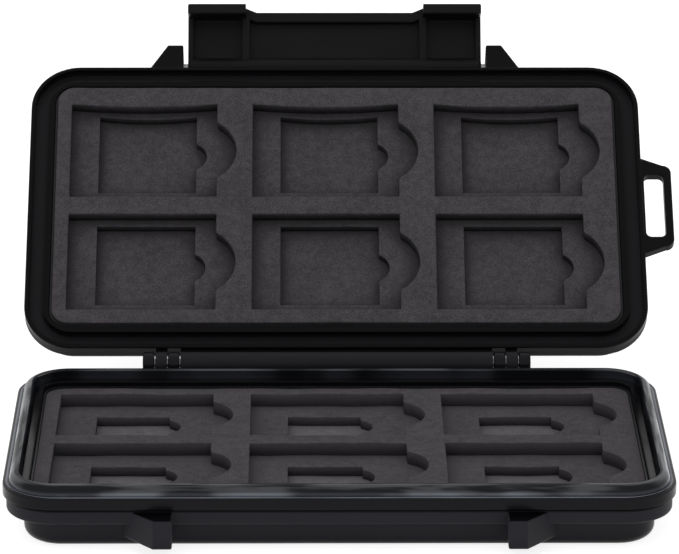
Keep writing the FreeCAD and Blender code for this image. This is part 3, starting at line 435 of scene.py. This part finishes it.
# %% Tray plastic and pin steel
CLOUDED_SIZE = 4 * MM
CLOUDED_DEPTH = 0.05 * MM
TRAY_DARK = (0.008, 0.008, 0.009, 1)
TRAY_PALE = (0.016, 0.016, 0.018, 1)
DRAWN_LINE_SIZE = 0.12 * MM
DRAWN_STRETCH = 20
STEEL_DARK = (0.30, 0.30, 0.31, 1)
STEEL_PALE = (0.46, 0.46, 0.47, 1)


def tray_plastic():
    """Thin vacuum-formed black sheet, glossier than the shells."""
    finish = Finish("tray_plastic", Specular_IOR_Level=0.15)
    clouded = finish.place.noise(CLOUDED_SIZE, detail=3.0)
    finish.feed("Base Color", clouded.mix(TRAY_DARK, TRAY_PALE))
    finish.feed("Roughness", 0.26 + clouded * 0.12)
    finish.feed("Normal", clouded.bump(CLOUDED_DEPTH))
    return finish.material


def pin_steel():
    """Drawn steel, with fine lines along the pin."""
    finish = Finish("pin_steel", Metallic=1.0)
    lines = finish.place.stretched(DRAWN_STRETCH).noise(DRAWN_LINE_SIZE, detail=2.0)
    finish.feed("Base Color", lines.mix(STEEL_DARK, STEEL_PALE))
    finish.feed("Roughness", 0.28 + lines * 0.18)
    return finish.material


tray_black = tray_plastic()
steel = pin_steel()
print("made", tray_black.name, "and", steel.name)

# %% [markdown]
# ## Finishes onto the solids
# The rigid pieces keep the shapes they came with, so all they need is a material in place of the grey one.
# A table from piece to finish shows the whole choice at a glance. The foam sheets aren't in it,
# because they get meshes of their own further down.

# %% Give the solids their finishes
FINISHES = {
    "base_shell": base_black,
    "lid_shell": lid_black,
    "latch": latch_black,
    "rim_seal": seal_black,
    "base_liner_tray": tray_black,
    "lid_liner_tray": tray_black,
    "hinge_pin_left": steel,
    "hinge_pin_right": steel,
    "latch_pin_left": steel,
    "latch_pin_right": steel,
}
for part in frame["record"]["subparts"]:
    if part["node"] in FINISHES:
        solid = nodes[part["node"]]
        solid.data.materials.clear()
        solid.data.materials.append(FINISHES[part["node"]])
print("finished", len(FINISHES), "solids")

# %% [markdown]
# ## Foam
# The inserts are cut from dark closed-cell foam. Its skin is matt and faintly fibrous, a warm grey
# that is mottled where the fibres lie closer or catch the light. One noise would look like sand, so three
# share the work: fibres, mottling and slow clouds. Fibres and mottling also give the bump.
# An Ambient Occlusion node finds the places that walls close round and moves them towards a grey of
# their own, which is painted shade. The floors of the base's small wells get a paler copy of the foam, a painted
# sheen.

# %% Foam skin
FIBRE_SIZE = 0.3 * MM
MOTTLE_SIZE = 1.6 * MM
CLOUD_SIZE = 9 * MM
FIBRE_DEPTH = 0.12 * MM
SHELTER_REACH = 6 * MM
SHELTER_SAMPLES = 8


def foam_skin(name, dark, light, painted_shade_grey):
    """Matt mottled foam with fine fibres, between two greys, with painted shade of a third grey where walls close
    round it.
    """
    finish = Finish(name, Specular_IOR_Level=0.15)
    fibre = finish.place.noise(FIBRE_SIZE, detail=4.0, roughness=0.65)
    mottle = finish.place.noise(MOTTLE_SIZE, detail=3.0, roughness=0.6)
    cloud = finish.place.noise(CLOUD_SIZE, detail=2.0)
    shade = (fibre * 0.65 + mottle * 0.25 + cloud * 0.1).above(0.38, 0.62)
    open_sky = finish.place.node("ShaderNodeAmbientOcclusion", {"samples": SHELTER_SAMPLES},
                                 {"Distance": SHELTER_REACH}, "AO")
    # Painted shade: where the Ambient Occlusion node finds walls close by, the colour moves to the shade grey.
    painted_shade_mask = (1 - open_sky).above(0.08, 0.3) * (1 - shade * 0.35)
    finish.feed("Base Color", painted_shade_mask.mix(shade.mix(dark, light), painted_shade_grey))
    finish.feed("Roughness", 0.82 + fibre * 0.15)
    finish.feed("Normal", (fibre * 0.7 + mottle * 0.3).bump(FIBRE_DEPTH))
    return finish.material


# The lid's foam is the same foam as the base's; its greys are set a little darker, as painted shade for its lean.
lid_foam = foam_skin("lid_foam", dark=(0.039, 0.0357, 0.04, 1), light=(0.082, 0.0755, 0.083, 1),
                     painted_shade_grey=(0.031, 0.0285, 0.031, 1))
base_foam = foam_skin("base_foam", dark=(0.043, 0.039, 0.044, 1), light=(0.09, 0.083, 0.091, 1),
                      painted_shade_grey=(0.062, 0.057, 0.062, 1))
# A paler copy of the base's foam for the floors of its small wells, as painted sheen.
sheen_painted_foam = foam_skin("sheen_painted_foam", dark=(0.078, 0.072, 0.079, 1), light=(0.152, 0.14, 0.152, 1),
                         painted_shade_grey=(0.11, 0.101, 0.11, 1))
print("made", lid_foam.name, base_foam.name, "and", sheen_painted_foam.name)

# %% [markdown]
# ## Soft edges on the foam
# A knife or a hot press never leaves foam with a crisp edge: the rims of the wells are rounded and a little
# uneven. A cloth simulation would swell the sheets, which stiff foam doesn't do, so they are shaped directly.
# Each sheet starts as a merged copy of its solid, so that every well stays where it belongs.
# The sharp edges are bevelled, the flats are cut into a grid, and a slow noise moves the grid
# by about a tenth of a millimetre. The lid's sheets are turned flat first, so that up is up meanwhile.

# %% Shape the foam sheets
EDGE_SOFTNESS = 0.8 * MM
EDGE_STEPS = 3
GRID_STEP = 1.6 * MM
SWELL_SIZE = 7 * MM
SWELL = 0.16 * MM
MERGE_DISTANCE = 0.002 * MM
LEVEL = radians(0.5)
SHARP = radians(30)


def cut_grid(shape, axis):
    """Cut a mesh across an axis at even steps."""
    places = [vertex.co[axis] for vertex in shape.verts]
    normal = Vector((0, 0, 0))
    normal[axis] = 1
    place = min(places) + GRID_STEP
    while place < max(places) - GRID_STEP / 2:
        everything = shape.verts[:] + shape.edges[:] + shape.faces[:]
        bmesh.ops.bisect_plane(shape, geom=everything, dist=MERGE_DISTANCE,
                               plane_co=normal * place, plane_no=normal)
        place += GRID_STEP


def soften(shape):
    """Round the sharp edges of a flat-lying sheet, apart from those it lies on, and make its top uneven."""
    bottom = min(vertex.co.z for vertex in shape.verts)
    sharp = [edge for edge in shape.edges if edge.calc_face_angle(0) > SHARP
             and max(vertex.co.z for vertex in edge.verts) > bottom + MERGE_DISTANCE]
    bmesh.ops.bevel(shape, geom=sharp, offset=EDGE_SOFTNESS, offset_type="OFFSET", segments=EDGE_STEPS,
                    profile=0.5, affect="EDGES", clamp_overlap=True, material=-1)
    cut_grid(shape, 0)
    cut_grid(shape, 1)
    top = max(vertex.co.z for vertex in shape.verts)
    for vertex in shape.verts:
        rise = (vertex.co.z - bottom) / (top - bottom)
        vertex.co.z += SWELL * rise * (noise.noise(vertex.co / SWELL_SIZE) - 0.5)


def soft_sheet(node, flat, skin):
    """A foam sheet with soft edges in the place of its solid."""
    shape = bmesh.new()
    shape.from_mesh(nodes[node].data)
    bmesh.ops.transform(shape, matrix=flat, verts=shape.verts)
    bmesh.ops.remove_doubles(shape, verts=shape.verts, dist=MERGE_DISTANCE)
    bmesh.ops.dissolve_limit(shape, angle_limit=LEVEL, verts=shape.verts, edges=shape.edges)
    soften(shape)
    bmesh.ops.transform(shape, matrix=flat.inverted(), verts=shape.verts)
    mesh = bpy.data.meshes.new(f"{node}_soft")
    shape.to_mesh(mesh)
    shape.free()
    mesh.shade_smooth()
    mesh.materials.append(skin)
    piece = bpy.data.objects.new(f"{node}_soft", mesh)
    bpy.context.scene.collection.objects.link(piece)
    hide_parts(node)
    print(piece.name, len(mesh.polygons), "faces")
    return piece


for layer in ("back", "middle", "face"):
    base_skin = sheen_painted_foam if layer == "back" else base_foam
    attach(soft_sheet(f"base_foam_{layer}", Matrix.Identity(4), base_skin), "base")
    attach(soft_sheet(f"lid_foam_{layer}", LAID_FLAT, lid_foam), "lid")

# %% [markdown]
# ## The floor
# The case stands on a plain white ground with a soft shadow. More light could bleach a grey floor to white,
# but it would bleach the case too. So the floor glows a little for the camera and for
# reflections alone, and stays an ordinary pale grey for the light that bounces onto the case.

# %% Floor
FLOOR_SIZE = 6.0
FLOOR_DROP = 0.05 * MM
FLOOR_GLOW = 0.8
FLOOR_GREY = (0.6, 0.6, 0.6, 1)
WHITE = (1, 1, 1, 1)


def seen_directly(tree):
    """1 where the camera, a reflection or a see-through piece looks at the surface."""
    rays = tree.nodes.new("ShaderNodeLightPath")
    camera_ray = Wire(tree, rays.outputs["Is Camera Ray"])
    glossy_ray = Wire(tree, rays.outputs["Is Glossy Ray"])
    through_ray = Wire(tree, rays.outputs["Is Transmission Ray"])
    return camera_ray.math("MINIMUM", camera_ray + glossy_ray + through_ray, 1.0)


def floor_white():
    """White floor that keeps a soft shadow."""
    finish = Finish("floor_white", Roughness=0.9, Specular_IOR_Level=0.0, Base_Color=FLOOR_GREY,
                    Emission_Color=WHITE)
    finish.feed("Emission Strength", seen_directly(finish.tree) * FLOOR_GLOW)
    return finish.material


ground = bmesh.new()
bmesh.ops.create_grid(ground, x_segments=1, y_segments=1, size=FLOOR_SIZE / 2)
bmesh.ops.translate(ground, vec=(0, 0, cad_low.z - FLOOR_DROP), verts=ground.verts)
floor_mesh = bpy.data.meshes.new("floor")
ground.to_mesh(floor_mesh)
ground.free()
floor_mesh.materials.append(floor_white())
floor = bpy.data.objects.new("floor", floor_mesh)
bpy.context.scene.collection.objects.link(floor)
print("floor of", FLOOR_SIZE, "m at height in mm", round((cad_low.z - FLOOR_DROP) / MM, 2))

# %% [markdown]
# ## Lamps and sky
# A bright even sky fills the wells from all sides, a broad lamp above makes level faces a little lighter than
# leaning ones, and a weak lamp in front keeps the front walls from going dead. A single strong lamp
# would be simpler, but its shadows would be too hard for this picture. Black plastic shows its form
# only through what it reflects, so the sky is white in reflections, and the lamps are hidden from them.

# %% Lamps and sky
AMBIENT = 0.62
CASE_MIDDLE = Vector((0, 0.03, 0.03))


def soft_lamp(name, place, aim, size, power):
    """A broad rectangular lamp that looks at a point and isn't seen in reflections."""
    data = bpy.data.lights.new(name, "AREA")
    data.shape = "RECTANGLE"
    data.size = size[0]
    data.size_y = size[1]
    data.energy = power
    lamp = bpy.data.objects.new(name, data)
    lamp.location = place
    lamp.rotation_euler = (aim - Vector(place)).to_track_quat("-Z", "Y").to_euler()
    lamp.visible_glossy = False
    bpy.context.scene.collection.objects.link(lamp)


soft_lamp("top_lamp", place=(-0.25, 0.05, 1.15), aim=CASE_MIDDLE, size=(1.2, 1.0), power=3.0)
soft_lamp("front_fill", place=(0, -1.3, 0.45), aim=CASE_MIDDLE, size=(1.5, 0.6), power=2.4)

world = bpy.data.worlds.new("studio")
world.use_nodes = True
bpy.context.scene.world = world
sky = world.node_tree.nodes["Background"]
sky.inputs["Color"].default_value = WHITE
sky_strength = seen_directly(world.node_tree) * (1 - AMBIENT) + AMBIENT
world.node_tree.links.new(sky_strength.socket, sky.inputs["Strength"])
